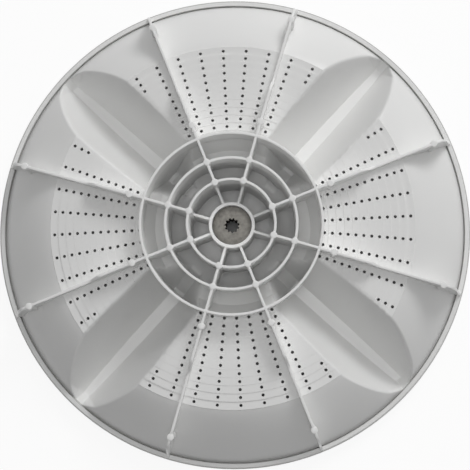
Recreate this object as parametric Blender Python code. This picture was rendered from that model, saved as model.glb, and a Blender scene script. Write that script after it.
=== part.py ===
"""Washing machine pulsator, 35 cm, underside up.

One injection moulding (bowl, lip, four hollow vanes, drain holes, hub rings, ribs and boss) with a splined
metal bush in its boss. It rests on the flat crests of its vanes, at z = 0; +X and +Y are middles of panels.
Each face of the moulding is drawn as a flat plan of lines, and every point is then lifted to its height.
"""
import math

import bmesh
import bpy
from mathutils import Vector
from mathutils.geometry import delaunay_2d_cdt

# Bowl and lip, metres
RIM_R = 0.175
LIP_WIDTH = 0.0041
LIP_TOP_Z = 0.0122
LIP_T = 0.0060
DISH_END_Z = 0.0090
DISH_UNDER_INSET = 0.0012
PANEL_Z = 0.0470
PANEL_OUT_R = 0.1290
PANEL_UNDER_INSET = 0.0003
SHEET_T = 0.0024
DISH_POWER = 1.25
DISH_STEPS = 4
# Hub: radius of each ring wall, then floor heights between the walls, from the boss outwards
RING_R = (0.0308, 0.0460, 0.0637)
RING_SEGS = (24, 32, 40)
RING_WALL = 0.0020
RING_TOP_Z = 0.0642
HUB_FLOOR = ((0.0100, 0.0100), (0.0150, 0.0225), (0.0290, 0.0440))
CROWN_R = 0.0300
CROWN_Z = 0.0074
DOME_POWER = 1.4
# Boss, its well for the bush, the shaft hole and the screw recess in the face
BOSS_R = 0.0164
BOSS_TOP_Z = 0.0505
WELL_WALL = 0.00235
WELL_Z = 0.0277
SHAFT_R = 0.0065
RECESS_R = 0.0135
RECESS_Z = 0.0220
# Ribs: half angle of each pair, edge heights, and the step on the way out
RIB_ANGLE = math.radians(18.94)
RIB_WALL = 0.0021
RIB_STEP_R = 0.0990
RIB_STEP_RUN = 0.0090
RIB_STEP_Z = (0.0620, 0.0532)
RIB_CORNER_INSET = 0.0150
RIB_CORNER_Z = 0.0500
RIB_END_INSET = 0.0012
RIB_END_RISE = 0.0012
INNER_RIB_Z = 0.0490
PAD_R = 0.0027
RIB_PAD_AT = (0.0745, 0.1545)
# Vanes: flat crest strip and flared flanks, at the hub end and at the rim end
VANE_START = 0.0600
VANE_END_INSET = 0.0070
VANE_STRIP_HALF = (0.0045, 0.0031)
STRIP_KNEE = 0.7
VANE_TOP_HALF = (0.0224, 0.0284)
VANE_FLOOR_T = 0.0022
VANE_WALL_SHIFT = 0.0013
HUB_RAMP = 1.05
RIM_RAMP = 1.0
# Drain holes: rows and rings, the outer rows hold only a few
HOLE_R = 0.00115
HOLE_PITCH = 0.005547
HOLE_TO_RING = 0.00125
HOLE_TO_EDGE = 0.0020
ROW_ANGLE = math.radians(7.5)
FULL_ROWS = 7
SHORT_ROW_HOLES = 3
HOLE_TO_VANE = 0.0002
HOLE_TO_RIB_PAD = -0.0001
HOLE_CELL = 0.010
# Bush
BUSH_GAP = 0.00035
BUSH_END_GAP = 0.0003
BUSH_LENGTH = 0.0185
SPLINE_ROOT_R = 0.0053
SPLINE_TIP_R = 0.0043
SPLINE_TEETH = 11

OUTER_SEGS = 48
BOSS_SEGS = 24
SHAFT_SEGS = 12
SHORTEST_CHORD = 0.3
FLAT_ANGLE = math.radians(0.05)
SHARP_ANGLE = math.radians(28)
QUARTER = math.pi / 2
LIP_IN_R = RIM_R - LIP_WIDTH
LIP_UNDER_Z = LIP_TOP_Z - LIP_T
VANE_END = LIP_IN_R - VANE_END_INSET
HUB_R = RING_R[-1] + RING_WALL / 2
WELL_R = BOSS_R - WELL_WALL


def between(table, x):
    """Straight line interpolation in (x, value) pairs whose x rises."""
    if x <= table[0][0]:
        return table[0][1]
    for (x0, v0), (x1, v1) in zip(table, table[1:]):
        if x <= x1:
            return v0 + (v1 - v0) * (x - x0) / (x1 - x0)
    return table[-1][1]


def dish_curve(r0, z0, r1, z1):
    """Bulging curve from the panel edge down to the lip."""
    out = []
    for i in range(DISH_STEPS + 1):
        t = QUARTER * i / DISH_STEPS
        across = math.sin(t) ** (2 / DISH_POWER)
        down = 1 - max(0.0, math.cos(t)) ** (2 / DISH_POWER)
        out.append((r0 + (r1 - r0) * across, z0 + (z1 - z0) * down))
    return out


def upper_profile():
    """Underside surface of the sheet, which faces up: cell floors, panel and dish."""
    out = [(BOSS_R, HUB_FLOOR[0][0])]
    for ring, (_, z_out), (z_in, _) in zip(RING_R, HUB_FLOOR, HUB_FLOOR[1:] + ((PANEL_Z, PANEL_Z),)):
        out += [(ring - RING_WALL / 4, z_out), (ring + RING_WALL / 4, z_in)]
    return out + dish_curve(PANEL_OUT_R, PANEL_Z, LIP_IN_R, DISH_END_Z)


def lower_profile():
    """Washing face of the sheet, which faces down: crown, dome, panel and dish."""
    under = PANEL_Z - SHEET_T
    out = [(CROWN_R, CROWN_Z)]
    for t in (0.5, 1.0):
        out.append((CROWN_R + (HUB_R - CROWN_R) * t, CROWN_Z + (under - CROWN_Z) * t ** DOME_POWER))
    return out + dish_curve(PANEL_OUT_R - PANEL_UNDER_INSET, under, LIP_IN_R - DISH_UNDER_INSET, LIP_UNDER_Z)


def rib_profile():
    """Edge of a rib, from the hub to the lip."""
    return [(HUB_R, RING_TOP_Z), (RIB_STEP_R, RIB_STEP_Z[0]), (RIB_STEP_R + RIB_STEP_RUN, RIB_STEP_Z[1]),
            (RIM_R - RIB_CORNER_INSET, RIB_CORNER_Z), (RIM_R - RIB_END_INSET, LIP_TOP_Z + RIB_END_RISE)]


UPPER = upper_profile()
LOWER = lower_profile()
RIB_EDGE = rib_profile()


def vane_widths(u):
    """Half width of the crest strip and of the vane at panel height, at distance u from the axis."""
    t = min(1.0, max(0.0, (u - VANE_START) / (VANE_END - VANE_START)))
    strip = VANE_STRIP_HALF[0] + (VANE_STRIP_HALF[1] - VANE_STRIP_HALF[0]) * t * t
    return strip, VANE_TOP_HALF[0] + (VANE_TOP_HALF[1] - VANE_TOP_HALF[0]) * t


def vane_height(u, w, lower):
    """Height of a vane at distance u along it and w beside its middle line."""
    strip, top = vane_widths(u)
    shift = VANE_WALL_SHIFT if lower else 0.0
    floor = 0.0 if lower else VANE_FLOOR_T
    ends = max(0.0, VANE_START - shift - u) * HUB_RAMP + max(0.0, u - VANE_END - shift) * RIM_RAMP
    flank = max(0.0, w - strip - shift) * (PANEL_Z - VANE_FLOOR_T) / (top - strip)
    return floor + max(ends, flank)


def sheet_height(x, y, lower=False):
    """Height of the upper or the lower surface of the moulded sheet."""
    r = math.hypot(x, y)
    turn = math.atan2(y, x) % QUARTER - QUARTER / 2
    vane = vane_height(r * math.cos(turn), abs(r * math.sin(turn)), lower)
    return min(vane, between(LOWER if lower else UPPER, r))


def vane_half_angle(r, lower):
    """Angle between a vane's middle line and the line where it leaves the sheet, at radius r."""
    low, high = 0.0, QUARTER / 2
    base = between(LOWER if lower else UPPER, r)
    if vane_height(r, 0.0, lower) >= base:
        return 0.0
    for _ in range(50):
        mid = (low + high) / 2
        if vane_height(r * math.cos(mid), r * math.sin(mid), lower) < base:
            low = mid
        else:
            high = mid
    return low


def vane_tip(inside_u, outside_u, lower):
    """Distance along the middle line where the vane's end meets the sheet."""
    for _ in range(50):
        mid = (inside_u + outside_u) / 2
        if vane_half_angle(mid, lower) > 0.0:
            inside_u = mid
        else:
            outside_u = mid
    return inside_u


def sheet_circles(lower):
    """Radii of the profile circles that are drawn on a face of the sheet."""
    return [r for r, _ in (LOWER if lower else UPPER) if lower or r > HUB_R]


def vane_outline(lower):
    """One side of the line where a vane leaves the sheet, as (along, beside) from end to end."""
    out = [(vane_tip(VANE_START, CROWN_R, lower), 0.0)]
    knots = [VANE_START - (VANE_WALL_SHIFT if lower else 0.0), RING_R[1], HUB_R]
    for r in sorted(set(knots + sheet_circles(lower))):
        half = vane_half_angle(r, lower)
        if half > 0.0:
            out.append((r * math.cos(half), r * math.sin(half)))
    return out + [(vane_tip(VANE_END, RIM_R, lower), 0.0)]


def ring(radius, count, turn=0.0):
    angles = [turn + 2 * math.pi * i / count for i in range(count)]
    return [(radius * math.cos(a), radius * math.sin(a)) for a in angles]


def turned(point, angle):
    c, s = math.cos(angle), math.sin(angle)
    return (point[0] * c - point[1] * s, point[0] * s + point[1] * c)


def inside(outline, x, y):
    """True for a point inside a closed outline."""
    hit = False
    for (x0, y0), (x1, y1) in zip(outline, outline[1:] + outline[:1]):
        if (y0 > y) != (y1 > y) and x < x0 + (x1 - x0) * (y - y0) / (y1 - y0):
            hit = not hit
    return hit


def rib_angles():
    return [QUARTER * k + side * RIB_ANGLE for k in range(4) for side in (-1, 1)]


def bar(x0, x1, width, angle):
    """Outline of a straight wall from radius x0 to x1, turned by an angle."""
    half = width / 2
    return [turned(p, angle) for p in ((x0, -half), (x1, -half), (x1, half), (x0, half))]


def hole_outlines():
    """Every drain hole, a small square set on its corner, where it clears ribs, pads and vanes."""
    first = HUB_R + HOLE_TO_RING
    count = int((PANEL_OUT_R - HOLE_TO_EDGE - first) / HOLE_PITCH) + 1
    last_row = FULL_ROWS // 2 + 1
    outlines = [vane_outline(False), vane_outline(True)]
    out = []
    for row in range(-last_row, last_row + 1):
        start = max(0, count - SHORT_ROW_HOLES) if abs(row) == last_row else 0
        for i in range(start, count):
            r = first + HOLE_PITCH * i
            angle = row * ROW_ANGLE
            to_rib = r * abs(math.sin(abs(angle) - RIB_ANGLE))
            u, w = turned((r, 0.0), QUARTER / 2 - abs(angle))
            to_vane = min(w - between(outline, u) for outline in outlines)
            if to_rib > HOLE_R + PAD_R + HOLE_TO_RIB_PAD and to_vane > HOLE_R + HOLE_TO_VANE:
                out += [[turned(p, QUARTER * k + angle) for p in
                         ((r + HOLE_R, 0), (r, HOLE_R), (r - HOLE_R, 0), (r, -HOLE_R))] for k in range(4)]
    return out


class Plan:
    """Flat drawing of points and lines, split into triangles that keep every line."""

    def __init__(self):
        self.points = []
        self.lines = []
        self.index = {}

    def chain(self, points, closed=False):
        ids = []
        for p in points:
            key = (round(p[0], 7), round(p[1], 7))
            if key not in self.index:
                self.index[key] = len(self.points)
                self.points.append(Vector(p))
            ids.append(self.index[key])
        pairs = list(zip(ids, ids[1:] + ids[:1] if closed else ids[1:]))
        self.lines += [pair for pair in pairs if pair[0] != pair[1]]

    def triangles(self):
        points, _, faces, _, _, _ = delaunay_2d_cdt(self.points, self.lines, [], 0, 1e-8)
        points = [(p.x, p.y) for p in points]
        out = []
        for a, b, c in faces:
            (ax, ay), (bx, by), (cx, cy) = points[a], points[b], points[c]
            out.append((a, b, c) if (bx - ax) * (cy - ay) > (cx - ax) * (by - ay) else (a, c, b))
        return points, out


def draw_sheet(plan, lower):
    """Profile circles between the vanes, and the crest strip and outline of each vane."""
    shift = VANE_WALL_SHIFT if lower else 0.0
    for r in sheet_circles(lower):
        half = vane_half_angle(r, lower)
        count = OUTER_SEGS if r > (RING_R[1] + RING_R[2]) / 2 else BOSS_SEGS
        step = 2 * math.pi / count
        if half == 0.0:
            plan.chain(ring(r, count), True)
            continue
        for k in range(4):
            low = QUARTER * (k - 0.5) + half
            high = QUARTER * (k + 0.5) - half
            steps = range(math.floor(low / step), math.ceil(high / step) + 1)
            ends = low + SHORTEST_CHORD * step, high - SHORTEST_CHORD * step
            angles = [i * step for i in steps if ends[0] < i * step < ends[1]]
            plan.chain([(r * math.cos(a), r * math.sin(a)) for a in [low] + angles + [high]])
    leaf = vane_outline(lower)
    start, end = VANE_START - shift, VANE_END + shift
    strip = [(u, vane_widths(u)[0] + shift) for u in (start, start + (end - start) * STRIP_KNEE, end)]
    for k in range(4):
        mid = QUARTER * (k + 0.5)
        for side in (-1, 1):
            plan.chain([turned((u, w * side), mid) for u, w in leaf])
            plan.chain([turned((u, w * side), mid) for u, w in leaf[:1] + strip + leaf[-1:]])
        for u, w in (strip[0], strip[-1]):
            plan.chain([turned((u, w), mid), turned((u, -w), mid)])


class Shell:
    """Closed surface made of lifted plans and the upright walls between their zones."""

    def __init__(self):
        self.verts = []
        self.faces = []
        self.index = {}

    def vertex(self, x, y, z):
        key = (round(x, 7), round(y, 7), round(z, 7))
        if key not in self.index:
            self.index[key] = len(self.verts)
            self.verts.append((x, y, z))
        return self.index[key]

    def lift(self, plan, zone_at, height, up):
        """Lift a plan; neighbouring zones get upright walls. Returns the edges left open."""
        points, triangles = plan.triangles()
        owner = {}
        stops = {}
        for tri in triangles:
            zone = zone_at(*(sum(points[i][n] for i in tri) / 3 for n in (0, 1)))
            if zone is None:
                continue
            heights = [round(height(zone, *points[i]), 7) for i in tri]
            loop = [self.vertex(*points[i], z) for i, z in zip(tri, heights)]
            self.faces.append(loop if up else loop[::-1])
            for n in range(3):
                a, b = tri[n], tri[(n + 1) % 3]
                owner[(a, b)] = (zone, heights[n], heights[(n + 1) % 3])
                stops.setdefault(a, set()).add(heights[n])
        rims = []
        for (a, b), (zone, za, zb) in owner.items():
            if (b, a) not in owner:
                rims.append((points[a], za, points[b], zb))
                continue
            other, ob, oa = owner[(b, a)]
            if zone < other and (za, zb) != (oa, ob):
                left = self.upright(points[a], stops[a], za, oa)
                right = self.upright(points[b], stops[b], ob, zb)
                loop = [v for n, v in enumerate(left + right) if v != (left + right)[n - 1]]
                self.faces.append(loop if up else loop[::-1])
        return rims

    def upright(self, point, stops, start, end):
        """Vertices on one upright line, with every height at which another wall ends."""
        levels = sorted(z for z in stops if min(start, end) <= z <= max(start, end))
        return [self.vertex(*point, z) for z in (levels if start <= end else levels[::-1])]

    def close(self, upper_rims, lower_rims):
        """Join the open edges of the two faces, round the rim and through every hole."""
        under = {(round(a[0], 6), round(a[1], 6)): (a, za) for a, za, _, _ in lower_rims}
        for a, za, b, zb in upper_rims:
            low_a, low_za = under[(round(a[0], 6), round(a[1], 6))]
            low_b, low_zb = under[(round(b[0], 6), round(b[1], 6))]
            self.faces.append([self.vertex(*b, zb), self.vertex(*a, za),
                               self.vertex(*low_a, low_za), self.vertex(*low_b, low_zb)])


def pulsator_body():
    """The moulding: underside with its walls, washing face, rim and holes."""
    shell = Shell()
    rim = ring(RIM_R, OUTER_SEGS)
    shaft = ring(SHAFT_R, SHAFT_SEGS)
    holes = hole_outlines()
    boss = ring(BOSS_R, BOSS_SEGS)
    well = ring(WELL_R, BOSS_SEGS)
    recess = ring(RECESS_R, BOSS_SEGS)
    lip_in = ring(LIP_IN_R, OUTER_SEGS)
    hub_rings = [(ring(r + RING_WALL / 2, n), ring(r - RING_WALL / 2, n)) for r, n in zip(RING_R, RING_SEGS)]
    ribs = [bar(RING_R[0], RIB_EDGE[-1][0], RIB_WALL, a) for a in rib_angles()]
    inner_ribs = [bar(WELL_R + WELL_WALL / 2, RING_R[0], RIB_WALL, a) for a in rib_angles()]
    pads = [[turned((r + x, y), a) for x, y in ring(PAD_R, sides, QUARTER)] for a in rib_angles()
            for r, sides in [(r, 4) for r in RING_R[:-1]] + [(r, 6) for r in RIB_PAD_AT]]
    near = {}
    for outline in holes:
        cell = (int(outline[1][0] // HOLE_CELL), int(outline[1][1] // HOLE_CELL))
        for i in (-1, 0, 1):
            for j in (-1, 0, 1):
                near.setdefault((cell[0] + i, cell[1] + j), []).append(outline)

    def in_hole(x, y):
        return any(inside(outline, x, y) for outline in near.get((int(x // HOLE_CELL), int(y // HOLE_CELL)), ()))

    def upper_zone(x, y):
        if not inside(rim, x, y) or inside(shaft, x, y) or in_hole(x, y):
            return None
        if inside(boss, x, y):
            return "well" if inside(well, x, y) else "boss"
        walls = any(inside(outer, x, y) and not inside(inner, x, y) for outer, inner in hub_rings)
        if walls or any(inside(outline, x, y) for outline in pads + ribs):
            return "rib"
        if not inside(lip_in, x, y):
            return "lip"
        return "inner_rib" if any(inside(outline, x, y) for outline in inner_ribs) else "sheet"

    def upper_height(zone, x, y):
        flat = {"well": WELL_Z, "boss": BOSS_TOP_Z, "inner_rib": INNER_RIB_Z, "lip": LIP_TOP_Z}
        if zone == "rib":
            return between(RIB_EDGE, math.hypot(x, y))
        return flat[zone] if zone in flat else sheet_height(x, y)

    def lower_zone(x, y):
        if not inside(rim, x, y) or inside(shaft, x, y) or in_hole(x, y):
            return None
        return "recess" if inside(recess, x, y) else "face"

    def lower_height(zone, x, y):
        return RECESS_Z if zone == "recess" else sheet_height(x, y, lower=True)

    upper = Plan()
    draw_sheet(upper, lower=False)
    for outline in [rim, shaft, boss, well] + ribs + inner_ribs + pads + holes:
        upper.chain(outline, True)
    for outer, inner in hub_rings:
        upper.chain(outer, True)
        upper.chain(inner, True)
    for angle in rib_angles():
        for r, _ in RIB_EDGE[1:-1]:
            upper.chain([turned((r, -RIB_WALL / 2), angle), turned((r, RIB_WALL / 2), angle)])
    lower = Plan()
    draw_sheet(lower, lower=True)
    for outline in [rim, shaft, recess] + holes:
        lower.chain(outline, True)
    upper_rims = shell.lift(upper, upper_zone, upper_height, up=True)
    lower_rims = shell.lift(lower, lower_zone, lower_height, up=False)
    shell.close(upper_rims, lower_rims)
    return shell


def spline_bush():
    """Metal sleeve with a toothed bore for the drive shaft."""
    outer = ring(WELL_R - BUSH_GAP, BOSS_SEGS)
    bore = []
    step = 2 * math.pi / SPLINE_TEETH
    for i in range(SPLINE_TEETH):
        for part, r in ((0.0, SPLINE_ROOT_R), (0.42, SPLINE_ROOT_R), (0.55, SPLINE_TIP_R), (0.87, SPLINE_TIP_R)):
            bore.append(turned((r, 0.0), (i + part) * step))

    def in_metal(x, y):
        return "metal" if inside(outer, x, y) and not inside(bore, x, y) else None

    low = WELL_Z + BUSH_END_GAP
    shell = Shell()
    rims = []
    for z, up in ((low + BUSH_LENGTH, True), (low, False)):
        plan = Plan()
        plan.chain(outer, True)
        plan.chain(bore, True)
        rims.append(shell.lift(plan, in_metal, lambda zone, x, y, z=z: z, up))
    shell.close(*rims)
    return shell


def material(name, colour, metallic, roughness):
    mat = bpy.data.materials.new(name)
    mat.use_nodes = True
    shader = mat.node_tree.nodes["Principled BSDF"]
    shader.inputs["Base Color"].default_value = (*colour, 1.0)
    shader.inputs["Metallic"].default_value = metallic
    shader.inputs["Roughness"].default_value = roughness
    mat.diffuse_color = (*colour, 1.0)
    return mat


def add_object(name, shell, mat):
    """Make a mesh object, merge its flat facets and turn all faces outwards."""
    mesh = bpy.data.meshes.new(name)
    mesh.from_pydata(shell.verts, [], shell.faces)
    bm = bmesh.new()
    bm.from_mesh(mesh)
    bmesh.ops.dissolve_limit(bm, angle_limit=FLAT_ANGLE, verts=bm.verts, edges=bm.edges)
    bmesh.ops.triangulate(bm, faces=bm.faces)
    bmesh.ops.recalc_face_normals(bm, faces=bm.faces)
    bm.to_mesh(mesh)
    bm.free()
    mesh.materials.append(mat)
    mesh.shade_smooth()
    mesh.set_sharp_from_angle(angle=SHARP_ANGLE)
    bpy.context.scene.collection.objects.link(bpy.data.objects.new(name, mesh))
    print(name, "triangles", len(mesh.polygons))


for old in list(bpy.data.objects):
    bpy.data.objects.remove(old, do_unlink=True)

add_object("pulsator_body", pulsator_body(), material("white_polypropylene", (0.70, 0.70, 0.68), 0.0, 0.38))
add_object("spline_bush", spline_bush(), material("sintered_steel", (0.33, 0.32, 0.31), 1.0, 0.42))
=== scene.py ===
# %% [markdown]
# # A washing machine pulsator, seen from its ribbed underside
# The pulsator is one injection moulding in pale polypropylene with a splined metal bush in its boss.
# This lesson loads the measured part as a fixed frame, and then models the fine surface over it: the
# moulded sheet with its four hollow vanes, the drain holes, the walls and ribs, and the bush.

# %% Load the frame
import math

import bpy
from mathutils import Matrix, Vector


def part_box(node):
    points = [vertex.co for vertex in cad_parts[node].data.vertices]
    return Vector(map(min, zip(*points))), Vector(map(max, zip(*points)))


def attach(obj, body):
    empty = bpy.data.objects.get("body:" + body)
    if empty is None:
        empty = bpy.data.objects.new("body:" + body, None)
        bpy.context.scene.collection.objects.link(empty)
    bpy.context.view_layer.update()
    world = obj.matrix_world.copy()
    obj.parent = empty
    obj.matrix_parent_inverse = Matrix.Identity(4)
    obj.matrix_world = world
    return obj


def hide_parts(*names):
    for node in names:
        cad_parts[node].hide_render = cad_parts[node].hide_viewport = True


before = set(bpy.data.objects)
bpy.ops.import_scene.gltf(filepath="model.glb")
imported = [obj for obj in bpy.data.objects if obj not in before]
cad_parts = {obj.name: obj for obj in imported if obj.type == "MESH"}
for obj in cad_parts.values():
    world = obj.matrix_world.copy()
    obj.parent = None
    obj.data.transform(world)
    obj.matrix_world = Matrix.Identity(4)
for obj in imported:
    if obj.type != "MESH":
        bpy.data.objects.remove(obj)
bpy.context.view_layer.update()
body_low, body_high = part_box("pulsator_body")
bush_low, bush_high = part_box("spline_bush")
print("nodes", sorted(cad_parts))
print("rim diameter", round((body_high[0] - body_low[0]) * 1000, 1), "mm")

# %% [markdown]
# ## Sizes
# The rim, the height of the ring walls and the bush are read from the frame. The rest are the part's
# own sizes in metres: the radius of the panels, of the ring walls and of the boss, and the height of
# each floor. Heights count up from the flat crests of the vanes, on which the pulsator lies.

# %% Sizes of the bowl, the panels and the holes
MM = 0.001
QUARTER = math.pi / 2
RIM_R = body_high[0]
LIP_IN_R = RIM_R - 4.1 * MM
LIP_TOP_Z = 12.2 * MM
LIP_EDGE_R = RIM_R - 1.2 * MM
LIP_EDGE_Z = LIP_TOP_Z - 0.9 * MM
RIM_SIDE_Z = LIP_TOP_Z - 1.4 * MM
LIP_UNDER_Z = 6.2 * MM
DISH_END_Z = 9.0 * MM
PANEL_Z = 47.0 * MM
PANEL_LOW_Z = 46.4 * MM
DISH_START_Z = 46.0 * MM
PANEL_OUT_R = 130.0 * MM
SHEET_T = 2.4 * MM
HUB_R = 64.7 * MM
HOLE_R = 1.13 * MM
HOLE_PITCH = 5.547 * MM
FIRST_HOLE = HUB_R + 1.25 * MM
ROW_TURN = math.radians(7.5)
FULL_ROW = 12
SHORT_ROW = 3
print("panels reach from", round(HUB_R / MM, 1), "to", round(PANEL_OUT_R / MM, 1), "mm")

# %% Sizes of the hub, the boss, the ribs and the vanes
RING_TOP_Z = body_high[2]
RING_R = [30.8 * MM, 46.0 * MM, 63.7 * MM]
WALL = 1.9 * MM
HUB_FLOOR = [(16.0, 10.0), (30.1, 10.0), (31.6, 15.0), (45.4, 22.0), (46.6, 30.0), (56.2, 33.5),
             (62.9, 43.8), (64.5, 46.6)]
CROWN_R = 30.0 * MM
CROWN_Z = 7.4 * MM
BOSS_R = 16.4 * MM
BOSS_TOP_Z = 50.5 * MM
WELL_R = 14.05 * MM
WELL_Z = 27.7 * MM
RECESS_R = 13.5 * MM
RECESS_Z = 22.0 * MM
SHAFT_R = 6.5 * MM
INNER_RIB_Z = 49.0 * MM
RIB_ANGLE = math.radians(18.94)
VANE_START = 60.0 * MM
VANE_END = LIP_IN_R - 7.0 * MM
VANE_T = 2.2 * MM
print("vanes are", round((VANE_END - VANE_START) / MM), "mm long between their ramps")

# %% [markdown]
# ## The sheet as a height above every point
# The moulding is a thin sheet, so its underside is a height that depends on the place. A curve gives
# the hub's stepped floor, the panel, the bulging dish and the lip. The panels have low terraces, one
# between each two rings of holes, which catch the light as fine arcs. Modelling that surface as a
# formula keeps all four quarters alike and lets every other piece find its foot.


# %% Helpers for curves
def mix(a, b, t):
    return a + (b - a) * t


def along(table, x):
    """Straight lines through (x, value) pairs whose x rises."""
    for (x0, v0), (x1, v1) in zip(table, table[1:]):
        if x <= x1:
            return mix(v0, v1, max(0.0, (x - x0) / (x1 - x0)))
    return table[-1][1]


def soft_min(a, b, width):
    h = max(width - abs(a - b), 0.0) / width
    return min(a, b) - h * h * width / 4


def soft_max(a, b, width):
    return -soft_min(-a, -b, width)


def dish(r, r0, z0, r1, z1):
    """Bulging curve from the edge of the panel to the lip."""
    power = 1.25
    across = min(1.0, max(0.0, (r - r0) / (r1 - r0)))
    return z1 + (z0 - z1) * (1 - across ** power) ** (1 / power)


halfway = dish((PANEL_OUT_R + LIP_IN_R) / 2, PANEL_OUT_R, PANEL_Z, LIP_IN_R, DISH_END_Z)
print("the dish is", round(halfway / MM, 1), "mm high halfway out")

# %% The two faces of the sheet
RISES = [0.45, 0.42, 0.35, 0.22, 0.12, 0.06, -0.07, -0.12, -0.25, -0.44, -0.75]
TERRACES = [(FIRST_HOLE + HOLE_PITCH * (i + 0.5), rise * MM) for i, rise in enumerate(RISES)]
RISER = 0.06 * MM


def upper_base(r):
    """Underside of the sheet away from the vanes."""
    if r < HUB_R:
        return along([(x * MM, z * MM) for x, z in HUB_FLOOR], r)
    if r < PANEL_OUT_R:
        steps = [rise * min(1.0, max(0.0, (r - t) / RISER + 0.5)) for t, rise in TERRACES]
        return PANEL_LOW_Z + sum(steps)
    if r < LIP_IN_R:
        return dish(r, PANEL_OUT_R, DISH_START_Z, LIP_IN_R, DISH_END_Z)
    return LIP_TOP_Z if r < LIP_EDGE_R else LIP_EDGE_Z


def lower_base(r):
    """Washing face of the sheet away from the vanes."""
    under = PANEL_Z - SHEET_T
    if r < HUB_R:
        t = max(0.0, (r - CROWN_R) / (HUB_R - CROWN_R))
        return mix(CROWN_Z, under, t ** 1.4)
    return dish(r, PANEL_OUT_R - 1.3 * MM, under, LIP_IN_R - 1.2 * MM, LIP_UNDER_Z)


print("terrace lines at", [round(r / MM, 1) for r, _ in TERRACES], "mm")

# %% [markdown]
# ## Vanes
# A vane is a hollow fin that stirs the wash. From this side it is a trough with a flat strip along its
# crest and two straight flanks. A Boolean could cut it, but would leave sharp edges and no wall under
# it. Here the trough wins wherever it is lower than the sheet, and a soft minimum rounds the edge
# between them, as the steel of the mould does.


# %% The trough of a vane
def vane_widths(u):
    """Half widths of the strip and of the trough at panel height, at distance u from the axis."""
    t = min(1.0, max(0.0, (u - VANE_START) / (VANE_END - VANE_START)))
    return mix(4.5, 2.6, t ** 3) * MM, mix(22.4, 28.4, t) * MM


def vane(u, w, lower):
    """Height of the trough at distance u along it and w beside its middle line."""
    strip, top = vane_widths(u)
    shift = 1.3 * MM if lower else 0.0
    ends = max(0.0, VANE_START - shift - u) * 1.05 + max(0.0, u - VANE_END - shift)
    flank = (w - strip - shift) * (PANEL_Z - VANE_T) / (top - strip)
    return (0.0 if lower else VANE_T) + ends + soft_max(0.0, flank, 0.4 * MM)


def sheet_z(x, y, lower=False):
    """Height of the finished sheet over any place."""
    r = math.hypot(x, y)
    turn = math.atan2(y, x) % QUARTER - QUARTER / 2
    base = lower_base(r) if lower else upper_base(r)
    if r > LIP_IN_R - 0.3 * MM and not lower:
        return base
    rounding = mix(8.0, 3.0, min(1.0, max(0.0, (r - 56 * MM) / (8 * MM)))) * MM
    return soft_min(vane(r * math.cos(turn), abs(r * math.sin(turn)), lower), base, rounding)


print("heights of a panel and a vane", round(sheet_z(0.1, 0) / MM, 2), round(sheet_z(0.07, 0.07) / MM, 2))

# %% [markdown]
# ## A grid bent into the sheet
# Spinning one section would give the bowl but not its vanes, so a plain grid is bent round the axis.
# Its columns don't stand at even angles: some follow the edges of the vanes, so that these edges stay
# sharp with few faces. Its rows run from the shaft hole to the rim on the underside, round the lip,
# and back on the washing face, so the sheet is closed. The washing face is plainer and has fewer rows.


# %% Columns of the grid
def leaf_angle(r):
    """Angle between a vane's middle line and its outline at radius r."""
    low, high = 0.0, QUARTER / 2
    for _ in range(30):
        mid = (low + high) / 2
        trough = vane(r * math.cos(mid), r * math.sin(mid), False)
        if trough < dish(r, PANEL_OUT_R, PANEL_Z, LIP_IN_R, DISH_END_Z):
            low = mid
        else:
            high = mid
    return low


def column_angles(r):
    """Angles from a vane's middle line to the middle of a panel, crowded at the vane's edges."""
    reach = min(max(r, 47 * MM), 167 * MM)
    strip = math.asin(vane_widths(reach)[0] / reach)
    leaf = max(leaf_angle(reach), strip * 1.6)
    soft = min(1.6 * MM / reach, (leaf - strip) / 3)
    foot = min(0.4 * MM / reach, strip / 2)
    marks = [(0.0, 2), (strip - foot, 3), (strip + foot, 7), (leaf - soft, 4), (leaf + soft, 16),
             (QUARTER / 2, 0)]
    out = []
    for (a, count), (b, _) in zip(marks, marks[1:]):
        out += [mix(a, b, i / count) for i in range(count)]
    return out + [QUARTER / 2]


eighth = len(column_angles(0.1)) - 1
print("columns in an eighth", eighth)


# %% Rows of the grid
def row_step(r, lower):
    step = 1.4 if r < HUB_R else 2.8 if r < PANEL_OUT_R else 1.5 if r < 160 * MM else 0.8
    return step * (2.2 if lower else 1.0) * MM


def row_radii(lower):
    """Radii of the rows from the shaft hole to the rim, crowded where the section bends."""
    marks = [SHAFT_R, BOSS_R] + [r * MM for r, _ in HUB_FLOOR[1:]]
    if not lower:
        for t, _ in TERRACES:
            marks += [t - RISER / 2, t + RISER / 2]
    marks += [PANEL_OUT_R - 0.01 * MM, PANEL_OUT_R + 0.3 * MM, 136 * MM, 160 * MM]
    marks += [LIP_IN_R - 1.0 * MM, LIP_IN_R - 0.2 * MM, LIP_IN_R + 0.02 * MM]
    marks += [RIM_R - 1.3 * MM, RIM_R - 1.1 * MM, RIM_R - 0.3 * MM]
    out = []
    for a, b in zip(marks, marks[1:]):
        count = max(1, round((b - a) / row_step(a, lower)))
        out += [mix(a, b, i / count) for i in range(count)]
    return out + [marks[-1]]


upper_radii = row_radii(False)
under_radii = row_radii(True)
print("rows", len(upper_radii), "on the underside and", len(under_radii), "on the washing face")

# %% [markdown]
# The grid comes from one operator. Each vertex is then placed by its row and its column, and merging
# by distance closes the seam. Rows past the rim run back to the shaft hole on the washing face.


# %% Bend the grid
def deselect():
    if bpy.context.object and bpy.context.object.mode != "OBJECT":
        bpy.ops.object.mode_set(mode="OBJECT")
    bpy.ops.object.select_all(action="DESELECT")


def turned_angles(r):
    """Angles of all the columns at radius r, round the whole turn."""
    side = column_angles(r)
    vane_to_vane = side[:-1] + [QUARTER - a for a in reversed(side[1:])]
    return [QUARTER / 2 + QUARTER * k + a for k in range(4) for a in vane_to_vane]


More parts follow.
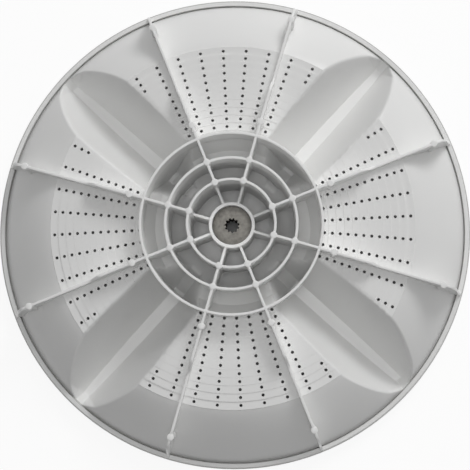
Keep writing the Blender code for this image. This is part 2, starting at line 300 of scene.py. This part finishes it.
def sheet_point(i, j):
    """Place of the vertex in column i and row j."""
    past_rim = j - len(upper_radii)
    r = upper_radii[j] if past_rim < 0 else under_radii[-max(past_rim, 1)]
    angle = angles_at[r][i]
    if past_rim in (0, 1):
        r = RIM_R
    x = r * math.cos(angle)
    y = r * math.sin(angle)
    if past_rim == 0:
        return (x, y, RIM_SIDE_Z)
    if past_rim < 0 and r < BOSS_R - 0.001 * MM:
        return (x, y, WELL_Z)
    if past_rim > 0 and r < RECESS_R:
        return (x, y, RECESS_Z)
    return (x, y, sheet_z(x, y, past_rim > 0))


deselect()
columns = eighth * 8
rows = len(upper_radii) + len(under_radii) + 1
angles_at = {r: turned_angles(r) for r in upper_radii + under_radii}
bpy.ops.mesh.primitive_grid_add(x_subdivisions=columns, y_subdivisions=rows, size=2.0, location=(0, 0, 0))
sheet = bpy.context.object
sheet.name = "moulded_sheet"
for v in sheet.data.vertices:
    column = round((v.co.x + 1) / 2 * columns) % columns
    row = round((v.co.y + 1) / 2 * rows) % rows
    v.co = sheet_point(column, row)
bpy.ops.object.mode_set(mode="EDIT")
bpy.ops.mesh.select_all(action="SELECT")
bpy.ops.mesh.remove_doubles(threshold=0.000001)
bpy.ops.mesh.normals_make_consistent(inside=False)
bpy.ops.object.mode_set(mode="OBJECT")
print("sheet has", len(sheet.data.polygons), "faces")

# %% [markdown]
# ## Drain holes
# Each panel has rows of round holes, 7.5 degrees apart. One cylinder is repeated along a row by an
# Array modifier, the row is copied round the axis, and one exact Boolean cuts them all. Painted dots
# would do from straight above, but real holes show their depth from the side. The outer row on each
# side keeps only its last three holes, because the vane takes the room of the others.


# %% A row of drills
def apply_all(obj):
    bpy.context.view_layer.objects.active = obj
    for mod in list(obj.modifiers):
        bpy.ops.object.modifier_apply(modifier=mod.name)


def hole_row(count, first):
    """A row of drills along +X, the first one at radius first."""
    deselect()
    middle = (first, 0, PANEL_Z - 1 * MM)
    bpy.ops.mesh.primitive_cylinder_add(vertices=14, radius=HOLE_R, depth=8 * MM, location=middle)
    drills = bpy.context.object
    bpy.ops.object.transform_apply(location=True, rotation=False, scale=False)
    array = drills.modifiers.new("row", "ARRAY")
    array.use_relative_offset = False
    array.use_constant_offset = True
    array.constant_offset_displace = (HOLE_PITCH, 0, 0)
    array.count = count
    apply_all(drills)
    return drills


full_row = hole_row(FULL_ROW, FIRST_HOLE)
short_row = hole_row(SHORT_ROW, FIRST_HOLE + (FULL_ROW - SHORT_ROW) * HOLE_PITCH)
print("a full row is", round(full_row.dimensions.x / MM, 1), "mm long")


# %% Cut the drain holes
def copy_turned(obj, angle):
    twin = obj.copy()
    twin.data = obj.data.copy()
    twin.data.transform(Matrix.Rotation(angle, 4, "Z"))
    bpy.context.scene.collection.objects.link(twin)
    return twin


def join(objects, name):
    deselect()
    for obj in objects:
        obj.select_set(True)
    bpy.context.view_layer.objects.active = objects[0]
    bpy.ops.object.join()
    objects[0].name = name
    return objects[0]


all_rows = []
for k in range(4):
    for n in range(-4, 5):
        row = short_row if abs(n) == 4 else full_row
        all_rows.append(copy_turned(row, QUARTER * k + ROW_TURN * n))
bpy.data.objects.remove(full_row)
bpy.data.objects.remove(short_row)
cutter = join(all_rows, "hole_cutter")
boolean = sheet.modifiers.new("drain holes", "BOOLEAN")
boolean.operation = "DIFFERENCE"
boolean.solver = "EXACT"
boolean.object = cutter
apply_all(sheet)
bpy.data.objects.remove(cutter)
print("sheet with holes has", len(sheet.data.polygons), "faces")

# %% [markdown]
# ## Walls
# Ring walls and ribs are thin plates that stand on the sheet. A grid three faces high is laid along
# the wall's path, its lower edge goes just into the sheet, and Solidify and Bevel give it its
# thickness and its small round edge. They could be extruded from the sheet's own faces, but then its
# rows would have to follow them.


# %% A thin wall on the sheet
FOOT = 0.8 * MM
LEVELS = 3


def wall(name, path, top_z, closed=False):
    """A wall along a path of (x, y) points, whose top edge is top_z(radius) high."""
    deselect()
    count = len(path)
    cells = count if closed else count - 1
    bpy.ops.mesh.primitive_grid_add(x_subdivisions=cells, y_subdivisions=LEVELS, size=2.0)
    plate = bpy.context.object
    plate.name = name
    for v in plate.data.vertices:
        i = round((v.co.x + 1) / 2 * cells) % count
        level = round((v.co.y + 1) / 2 * LEVELS) / LEVELS
        x, y = path[i]
        v.co = (x, y, mix(sheet_z(x, y) - FOOT, top_z(math.hypot(x, y)), level))
    if closed:
        bpy.ops.object.mode_set(mode="EDIT")
        bpy.ops.mesh.select_all(action="SELECT")
        bpy.ops.mesh.remove_doubles(threshold=0.000001)
        bpy.ops.object.mode_set(mode="OBJECT")
    solid = plate.modifiers.new("thickness", "SOLIDIFY")
    solid.thickness = WALL
    solid.offset = 0
    bevel = plate.modifiers.new("round edge", "BEVEL")
    bevel.width = 0.35 * MM
    bevel.segments = 2
    bevel.limit_method = "ANGLE"
    bevel.angle_limit = math.radians(50)
    apply_all(plate)
    return plate


def circle(radius, count):
    turns = [2 * math.pi * i / count for i in range(count)]
    return [(radius * math.cos(a), radius * math.sin(a)) for a in turns]


ring_walls = []
for n, r in enumerate(RING_R):
    ring_walls.append(wall("ring_wall_%d" % (n + 1), circle(r, 160), lambda r: RING_TOP_Z, True))
print(len(ring_walls), "ring walls")

# %% [markdown]
# A rib is as high as the ring walls at the hub, steps down beside the panel, and drops steeply to the
# lip at its outer end. Its top lies a hair under the tops of the ring walls, so that no two faces
# share one plane where they cross. Only the two ribs of one quarter are modelled. The other quarters
# get turned copies.

# %% Ribs
RIB_SINK = 0.08 * MM
RIB_END = (LIP_EDGE_R, LIP_TOP_Z + 1.2 * MM)
RIB_BENDS = [(80, 63.2), (99, 62.0), (101, 61.0), (106.5, 54.2), (109, 53.2), (150, 51.5), (158, 50.4),
             (161, 49.3), (163.5, 46), (166, 40), (168.5, 30), (171, 19)]
RIB_EDGE = [(HUB_R, RING_TOP_Z)] + [(r * MM, z * MM) for r, z in RIB_BENDS] + [RIB_END]


def rib_top(r):
    return along(RIB_EDGE, r)


def spoke(angle, start, end, count):
    """Points from one radius to another, at that angle."""
    radii = [mix(start, end, i / count) for i in range(count + 1)]
    return [(r * math.cos(angle), r * math.sin(angle)) for r in radii]


def all_quarters(objects):
    """The objects of one quarter and their turned copies in the other three."""
    return objects + [copy_turned(obj, QUARTER * k) for k in (1, 2, 3) for obj in objects]


ribs = []
for a in (-RIB_ANGLE, RIB_ANGLE):
    outer = spoke(a, RING_R[0], RIB_END[0], 136)
    inner = spoke(a, BOSS_R - 1 * MM, RING_R[0], 12)
    ribs.append(wall("rib", outer, lambda r: rib_top(r) - RIB_SINK))
    ribs.append(wall("inner_rib", inner, lambda r: INNER_RIB_Z))
ribs = all_quarters(ribs)
print(len(ribs), "plates make eight ribs")

# %% [markdown]
# ## Ejector pads
# Small round columns stand on the ribs where the mould's pins push the part out. A plain cylinder has
# the right shape, but its top is inset and raised a little, so that its edge catches the light.

# %% Pads
PAD_R = 2.45 * MM
PAD_AT = [RING_R[0], RING_R[1], 74.5 * MM, 154.5 * MM]


def pad(x, y, top):
    deselect()
    low = sheet_z(x, y) - FOOT
    middle = (x, y, (top + low) / 2)
    bpy.ops.mesh.primitive_cylinder_add(vertices=20, radius=PAD_R, depth=top - low, location=middle)
    post = bpy.context.object
    bpy.ops.object.transform_apply(location=True, rotation=False, scale=False)
    bpy.ops.object.mode_set(mode="EDIT")
    bpy.ops.mesh.select_mode(type="FACE")
    bpy.ops.mesh.select_all(action="DESELECT")
    bpy.ops.object.mode_set(mode="OBJECT")
    for face in post.data.polygons:
        face.select = face.normal.z > 0.9
    bpy.ops.object.mode_set(mode="EDIT")
    bpy.ops.mesh.inset(thickness=0.5 * MM)
    bpy.ops.transform.translate(value=(0, 0, 0.15 * MM))
    bpy.ops.object.mode_set(mode="OBJECT")
    bevel = post.modifiers.new("round edge", "BEVEL")
    bevel.width = 0.25 * MM
    bevel.segments = 2
    apply_all(post)
    return post


pads = []
for a in (-RIB_ANGLE, RIB_ANGLE):
    for r in PAD_AT:
        pads.append(pad(r * math.cos(a), r * math.sin(a), rib_top(r) + 0.1 * MM))
pads = all_quarters(pads)
print(len(pads), "pads")

# %% [markdown]
# ## Boss
# The boss is a short tube round the bush. A full cylinder could be bored, but an open one gets its
# wall from Solidify on the inner side, which keeps the outer size exact, and one Bevel rounds it all.

# %% Boss
deselect()
boss_low = sheet_z(BOSS_R, 0) - FOOT
bpy.ops.mesh.primitive_cylinder_add(vertices=96, radius=BOSS_R, depth=BOSS_TOP_Z - boss_low,
                                    end_fill_type="NOTHING", location=(0, 0, (BOSS_TOP_Z + boss_low) / 2))
boss = bpy.context.object
bpy.ops.object.transform_apply(location=True, rotation=False, scale=False)
solid = boss.modifiers.new("thickness", "SOLIDIFY")
solid.thickness = BOSS_R - WELL_R
solid.offset = -1
bevel = boss.modifiers.new("round edge", "BEVEL")
bevel.width = 0.45 * MM
bevel.segments = 3
bevel.limit_method = "ANGLE"
apply_all(boss)
print("boss", [round(d / MM, 1) for d in boss.dimensions])

# %% [markdown]
# The real part comes out of the mould in one shot, so all of it becomes one object. Only bends under
# 32 degrees are shaded smooth, which keeps the edges of the walls and the terraces crisp.


# %% One moulding
def smooth(obj):
    deselect()
    obj.select_set(True)
    bpy.context.view_layer.objects.active = obj
    bpy.ops.object.shade_smooth_by_angle(angle=math.radians(32))


def triangles(obj):
    return sum(len(p.vertices) - 2 for p in obj.data.polygons)


moulding = join([sheet] + ring_walls + ribs + pads + [boss], "moulding")
smooth(moulding)
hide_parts("pulsator_body")
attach(moulding, "root")
print("moulding triangles", triangles(moulding))

# %% [markdown]
# ## Bush
# The bush is a sintered steel sleeve with eleven splines. A cylinder gives the sleeve, a second one
# with its sides pushed in and out gives the toothed bore, and a Boolean cuts it. An extruded outline
# would do too, but this way the number of teeth is one value. Places along a tooth are fractions of
# its pitch.

# %% Bush
TEETH = 11
ROOT_R = 5.3 * MM
TIP_R = 4.3 * MM
TOOTH_START = 0.44
TOOTH_FLANKS = [0.5, 0.94]

deselect()
bpy.ops.mesh.primitive_cylinder_add(vertices=96, radius=bush_high[0], depth=bush_high[2] - bush_low[2],
                                    location=(0, 0, (bush_high[2] + bush_low[2]) / 2))
bush = bpy.context.object
bush.name = "splined_bush"
bpy.ops.object.transform_apply(location=True, rotation=False, scale=False)
bpy.ops.mesh.primitive_cylinder_add(vertices=12 * TEETH, radius=ROOT_R, depth=40 * MM,
                                    location=(0, 0, 37 * MM))
bore = bpy.context.object
bpy.ops.object.transform_apply(location=True, rotation=False, scale=False)
for v in bore.data.vertices:
    turn = math.atan2(v.co.y, v.co.x) / (2 * math.pi) * TEETH % 1.0
    level = ROOT_R if turn < TOOTH_START else TIP_R
    flank = min(abs(turn - place) for place in TOOTH_FLANKS)
    v.co.xy = v.co.xy.normalized() * mix((ROOT_R + TIP_R) / 2, level, min(1.0, flank / 0.05))
boolean = bush.modifiers.new("bore", "BOOLEAN")
boolean.operation = "DIFFERENCE"
boolean.solver = "EXACT"
boolean.object = bore
bevel = bush.modifiers.new("edge", "BEVEL")
bevel.width = 0.25 * MM
bevel.segments = 2
bevel.limit_method = "ANGLE"
bevel.angle_limit = math.radians(60)
apply_all(bush)
bpy.data.objects.remove(bore)
smooth(bush)
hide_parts("spline_bush")
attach(bush, "root")
print("bush triangles", triangles(bush))

# %% [markdown]
# ## Materials
# Each material is built from nodes. One helper adds a node with its settings and its links, another
# turns a hex value into the linear colour that the nodes need.


# %% Helpers for materials
def srgb(code):
    """Linear colour of a hex value such as C8C8C0."""
    parts = [int(code[i:i + 2], 16) / 255 for i in (0, 2, 4)]
    return tuple(p / 12.92 if p <= 0.04045 else ((p + 0.055) / 1.055) ** 2.4 for p in parts) + (1.0,)


def add_node(owner, kind, settings=None, sources=None):
    """Add a node to a material or world, set its properties and sockets, and link its inputs."""
    node = owner.node_tree.nodes.new(kind)
    for key, value in (settings or {}).items():
        if isinstance(key, int) or key in node.inputs:
            node.inputs[key].default_value = value
        else:
            setattr(node, key, value)
    link(owner, node, sources or {})
    return node


def link(owner, node, sources):
    for key, source in sources.items():
        owner.node_tree.links.new(source, node.inputs[key])


def new_material(name):
    material = bpy.data.materials.new(name)
    material.use_nodes = True
    return material, material.node_tree.nodes["Principled BSDF"]


def dress(obj, material):
    obj.data.materials.clear()
    obj.data.materials.append(material)


print("linear value of mid grey", round(srgb("808080")[0], 3))

# %% [markdown]
# Polypropylene as moulded is a pale, slightly warm grey-white with a satin gloss and an IOR of 1.49.
# The melt leaves faint clouds some centimetres wide in colour and gloss. The steel of the mould leaves
# a fine grain, which spreads the highlights. The real one is too fine to show, so it is drawn 0.8 mm
# coarse.

# %% Moulded polypropylene
CLOUD = 50 * MM
GRAIN = 0.8 * MM

plastic, plastic_shader = new_material("moulded_polypropylene")
plastic_place = add_node(plastic, "ShaderNodeTexCoord").outputs["Object"]
clouds = add_node(plastic, "ShaderNodeTexNoise", {"Scale": 1 / CLOUD, "Detail": 4.0},
                  {"Vector": plastic_place})
grain = add_node(plastic, "ShaderNodeTexNoise", {"Scale": 1 / GRAIN, "Detail": 2.0},
                 {"Vector": plastic_place})
cloud_tint = add_node(plastic, "ShaderNodeMix", {"data_type": "RGBA", 6: srgb("F1F1F0"), 7: srgb("F6F6F5")},
                      {"Factor": clouds.outputs["Fac"]})
satin = add_node(plastic, "ShaderNodeMapRange", {"To Min": 0.3, "To Max": 0.4},
                 {"Value": clouds.outputs["Fac"]})
grain_bump = add_node(plastic, "ShaderNodeBump", {"Strength": 0.12, "Distance": 0.0001},
                      {"Height": grain.outputs["Fac"]})
link(plastic, plastic_shader, {"Roughness": satin.outputs["Result"], "Normal": grain_bump.outputs["Normal"]})
plastic_shader.inputs["IOR"].default_value = 1.49
dress(moulding, plastic)
print("plastic", plastic.name)

# %% [markdown]
# Light scatters inside the plastic, so the thin edges of the walls look whiter than the sheet. That glow is
# painted light: the colour turns near white above a height. A fine line of painted shade runs round the
# inside of the lip, in its groove, and another along the sloped outer edge of the rim. All three are found
# from the height and the radius of a point, so they need no faces of their own.

# %% Painted glow on the wall tops and lines of painted shade
# Heights over which the tops of the walls are painted whiter, a painted glow
PAINTED_GLOW_FROM_Z = 48.5 * MM
PAINTED_GLOW_FULL_Z = 50 * MM
# Radius and half width of the painted shade in the groove inside the lip
LIP_GROOVE_SHADE = (LIP_IN_R - 0.1 * MM, 0.35 * MM)
# Radius and half width of the painted shade on the sloped outer edge of the rim
RIM_EDGE_SHADE = (RIM_R - 0.5 * MM, 0.45 * MM)

split_place = add_node(plastic, "ShaderNodeSeparateXYZ", None, {"Vector": plastic_place})
height = split_place.outputs["Z"]
flat_place = add_node(plastic, "ShaderNodeVectorMath", {"operation": "MULTIPLY", 1: (1.0, 1.0, 0.0)},
                      {0: plastic_place}).outputs["Vector"]
radius = add_node(plastic, "ShaderNodeVectorMath", {"operation": "LENGTH"}, {0: flat_place}).outputs["Value"]


def painted_shade_ring(middle, half_width):
    """Mask of painted shade: 1 on a ring of that radius, 0 beside it."""
    settings = {"operation": "COMPARE", 1: middle, 2: half_width}
    return add_node(plastic, "ShaderNodeMath", settings, {0: radius}).outputs["Value"]


def tinted(factor, under, code):
    """The colour under with another one over it where the factor is 1."""
    settings = {"data_type": "RGBA", 7: srgb(code)}
    return add_node(plastic, "ShaderNodeMix", settings, {"Factor": factor, 6: under}).outputs[2]


# Painted glow: 0 low on the walls, rising to 1 at their tops
painted_glow = add_node(plastic, "ShaderNodeMapRange", {"From Min": PAINTED_GLOW_FROM_Z, "From Max": PAINTED_GLOW_FULL_Z},
                {"Value": height})
# Keeps the painted shade of the groove below the top of the lip, off the rib ends
on_lip = add_node(plastic, "ShaderNodeMath", {"operation": "LESS_THAN", 1: LIP_TOP_Z + 0.1 * MM},
                  {0: height})
lip_groove_shade = add_node(plastic, "ShaderNodeMath", {"operation": "MULTIPLY"},
                      {0: painted_shade_ring(*LIP_GROOVE_SHADE), 1: on_lip.outputs["Value"]})
# The tops of the walls are painted near white, a painted glow for light scattered in the plastic
colour = tinted(painted_glow.outputs["Result"], cloud_tint.outputs[2], "FFFFFE")
# Painted shade: a grey line where the groove inside the lip lies in shade
colour = tinted(lip_groove_shade.outputs["Value"], colour, "C4C4C2")
# Painted shade: a grey band on the sloped outer edge of the rim
colour = tinted(painted_shade_ring(*RIM_EDGE_SHADE), colour, "CCCCCA")
link(plastic, plastic_shader, {"Base Color": colour})
print("nodes in the plastic", len(plastic.node_tree.nodes))

# %% [markdown]
# The bush is sintered steel: powder pressed and baked. Its pores give it a mottled, matt grey with a
# rough grain about 2.5 mm coarse in this drawing, so that it shows.

# %% Sintered steel
MOTTLE = 2.5 * MM

steel, steel_shader = new_material("sintered_steel")
steel_place = add_node(steel, "ShaderNodeTexCoord").outputs["Object"]
mottle = add_node(steel, "ShaderNodeTexNoise", {"Scale": 1 / MOTTLE, "Detail": 5.0}, {"Vector": steel_place})
steel_tint = add_node(steel, "ShaderNodeMix", {"data_type": "RGBA", 6: srgb("4E4D4A"), 7: srgb("908D87")},
                      {"Factor": mottle.outputs["Fac"]})
pores = add_node(steel, "ShaderNodeBump", {"Strength": 0.4, "Distance": 0.0002},
                 {"Height": mottle.outputs["Fac"]})
link(steel, steel_shader, {"Base Color": steel_tint.outputs[2], "Normal": pores.outputs["Normal"]})
steel_shader.inputs["Metallic"].default_value = 0.8
steel_shader.inputs["Roughness"].default_value = 0.5
dress(bush, steel)
print("steel", steel.name)

# %% [markdown]
# ## Floor
# The floor is a plain sheet of white paper. Rays that show the background see it as nearly plain
# white, with a trace of its own shading left, so that it keeps the pulsator's shadow. Under the
# pulsator it stays plain paper, and the drain holes look dark.

# %% Floor
FLOOR_SIZE = 6.0
FLOOR_Z = -0.2 * MM
WHITE_SHARE = 0.85


def backdrop_ray(owner):
    """1 for rays that show the background: straight, mirrored or through glass."""
    path = add_node(owner, "ShaderNodeLightPath").outputs
    seen = path["Is Camera Ray"]
    for name in ("Is Glossy Ray", "Is Transmission Ray"):
        either = add_node(owner, "ShaderNodeMath", {"operation": "MAXIMUM"}, {0: seen, 1: path[name]})
        seen = either.outputs["Value"]
    return seen


deselect()
bpy.ops.mesh.primitive_plane_add(size=FLOOR_SIZE, location=(0, 0, FLOOR_Z))
floor = bpy.context.object
floor.name = "floor"
paper, paper_shader = new_material("white_paper")
paper_shader.inputs["Base Color"].default_value = srgb("F4F4F4")
paper_shader.inputs["Roughness"].default_value = 0.9
paper_place = add_node(paper, "ShaderNodeTexCoord").outputs["Object"]
distance = add_node(paper, "ShaderNodeVectorMath", {"operation": "LENGTH"}, {"Vector": paper_place})
beside = add_node(paper, "ShaderNodeMapRange",
                  {"From Min": RIM_R - 6 * MM, "From Max": RIM_R - 1 * MM, "To Max": WHITE_SHARE},
                  {"Value": distance.outputs["Value"]})
whiteness = add_node(paper, "ShaderNodeMath", {"operation": "MULTIPLY"},
                     {0: backdrop_ray(paper), 1: beside.outputs["Result"]})
glow = add_node(paper, "ShaderNodeEmission", {"Color": (1, 1, 1, 1), "Strength": 1.05})
layers = {0: whiteness.outputs["Value"], 1: paper_shader.outputs["BSDF"], 2: glow.outputs["Emission"]}
cover = add_node(paper, "ShaderNodeMixShader", None, layers)
link(paper, paper.node_tree.nodes["Material Output"], {"Surface": cover.outputs["Shader"]})
floor.data.materials.append(paper)
print("floor", FLOOR_SIZE, "m wide")

# %% [markdown]
# ## Light
# The light in the photograph comes from the upper right, as from a window. The world is a dim room that
# grows brighter towards it, one large soft lamp is the window itself, and a weak one overhead lifts
# the panels. Places are in metres and powers in watts. Seen straight or in a mirror, the world is
# plain white.

# %% World
TO_WINDOW = (0.36, 0.53, 0.77)
ROOM_LIGHT = 0.09
WINDOW_LIGHT = 0.57

world = bpy.data.worlds.new("studio")
bpy.context.scene.world = world
world.use_nodes = True
background = world.node_tree.nodes["Background"]
background.inputs["Color"].default_value = (1, 1, 1, 1)
ray = add_node(world, "ShaderNodeTexCoord").outputs["Generated"]
towards = add_node(world, "ShaderNodeVectorMath", {"operation": "DOT_PRODUCT", 1: TO_WINDOW}, {0: ray})
ahead = add_node(world, "ShaderNodeMath", {"operation": "MAXIMUM", 1: 0.0}, {0: towards.outputs["Value"]})
lobe = add_node(world, "ShaderNodeMath", {"operation": "POWER", 1: 2.0}, {0: ahead.outputs["Value"]})
room = add_node(world, "ShaderNodeMapRange", {"To Min": ROOM_LIGHT, "To Max": WINDOW_LIGHT},
                {"Value": lobe.outputs["Value"]})
strength = add_node(world, "ShaderNodeMix", {"data_type": "FLOAT", 3: 1.0},
                    {0: backdrop_ray(world), 2: room.outputs["Result"]})
link(world, background, {"Strength": strength.outputs[0]})
print("world", ROOM_LIGHT, "to", WINDOW_LIGHT)


# %% Lamps
def soft_lamp(name, place, size, power):
    """A round area lamp that points at the middle of the pulsator."""
    light = bpy.data.lights.new(name, "AREA")
    light.shape = "DISK"
    light.size = size
    light.energy = power
    lamp = bpy.data.objects.new(name, light)
    bpy.context.scene.collection.objects.link(lamp)
    aim = (-Vector(place)).to_track_quat("-Z", "Y").to_matrix().to_4x4()
    lamp.matrix_world = Matrix.Translation(place) @ aim


soft_lamp("window", (1.12, 1.66, 1.5), 1.0, 19.5)
soft_lamp("overhead", (0.0, -0.1, 2.4), 0.7, 6)

# %% [markdown]
# ## Camera
# The camera looks nearly straight down from 0.8 m, a little from the lower edge. Its place and focal
# length come from a fit of the rim, the ring walls, the pads and the holes to the photograph. The
# focal length is in the photograph's pixels, and one line turns it into the millimetres of a lens.

# %% Camera
FRAME_PIXELS = 470
FOCAL_PIXELS = 1079.6
SENSOR = 36.0
TURN = math.radians(2.871)
EYE = Vector((26.12, -79.89, 810.2)) * MM
BACK = Vector((0.0309, -0.0952, 1.0)).normalized()

right = Vector((0, 1, 0)).cross(BACK).normalized()
up = BACK.cross(right)
look = Matrix((right, up, BACK)).transposed().to_4x4()
lens = bpy.data.cameras.new("camera")
lens.sensor_width = SENSOR
lens.lens = FOCAL_PIXELS / FRAME_PIXELS * SENSOR
lens.shift_x = -0.5 / FRAME_PIXELS
lens.shift_y = 0.5 / FRAME_PIXELS
camera = bpy.data.objects.new("camera", lens)
bpy.context.scene.collection.objects.link(camera)
camera.matrix_world = Matrix.Rotation(-TURN, 4, "Z") @ Matrix.Translation(EYE) @ look
bpy.context.scene.camera = camera
bpy.context.scene.view_settings.view_transform = "Standard"
print("camera at", [round(c, 3) for c in camera.matrix_world.translation])
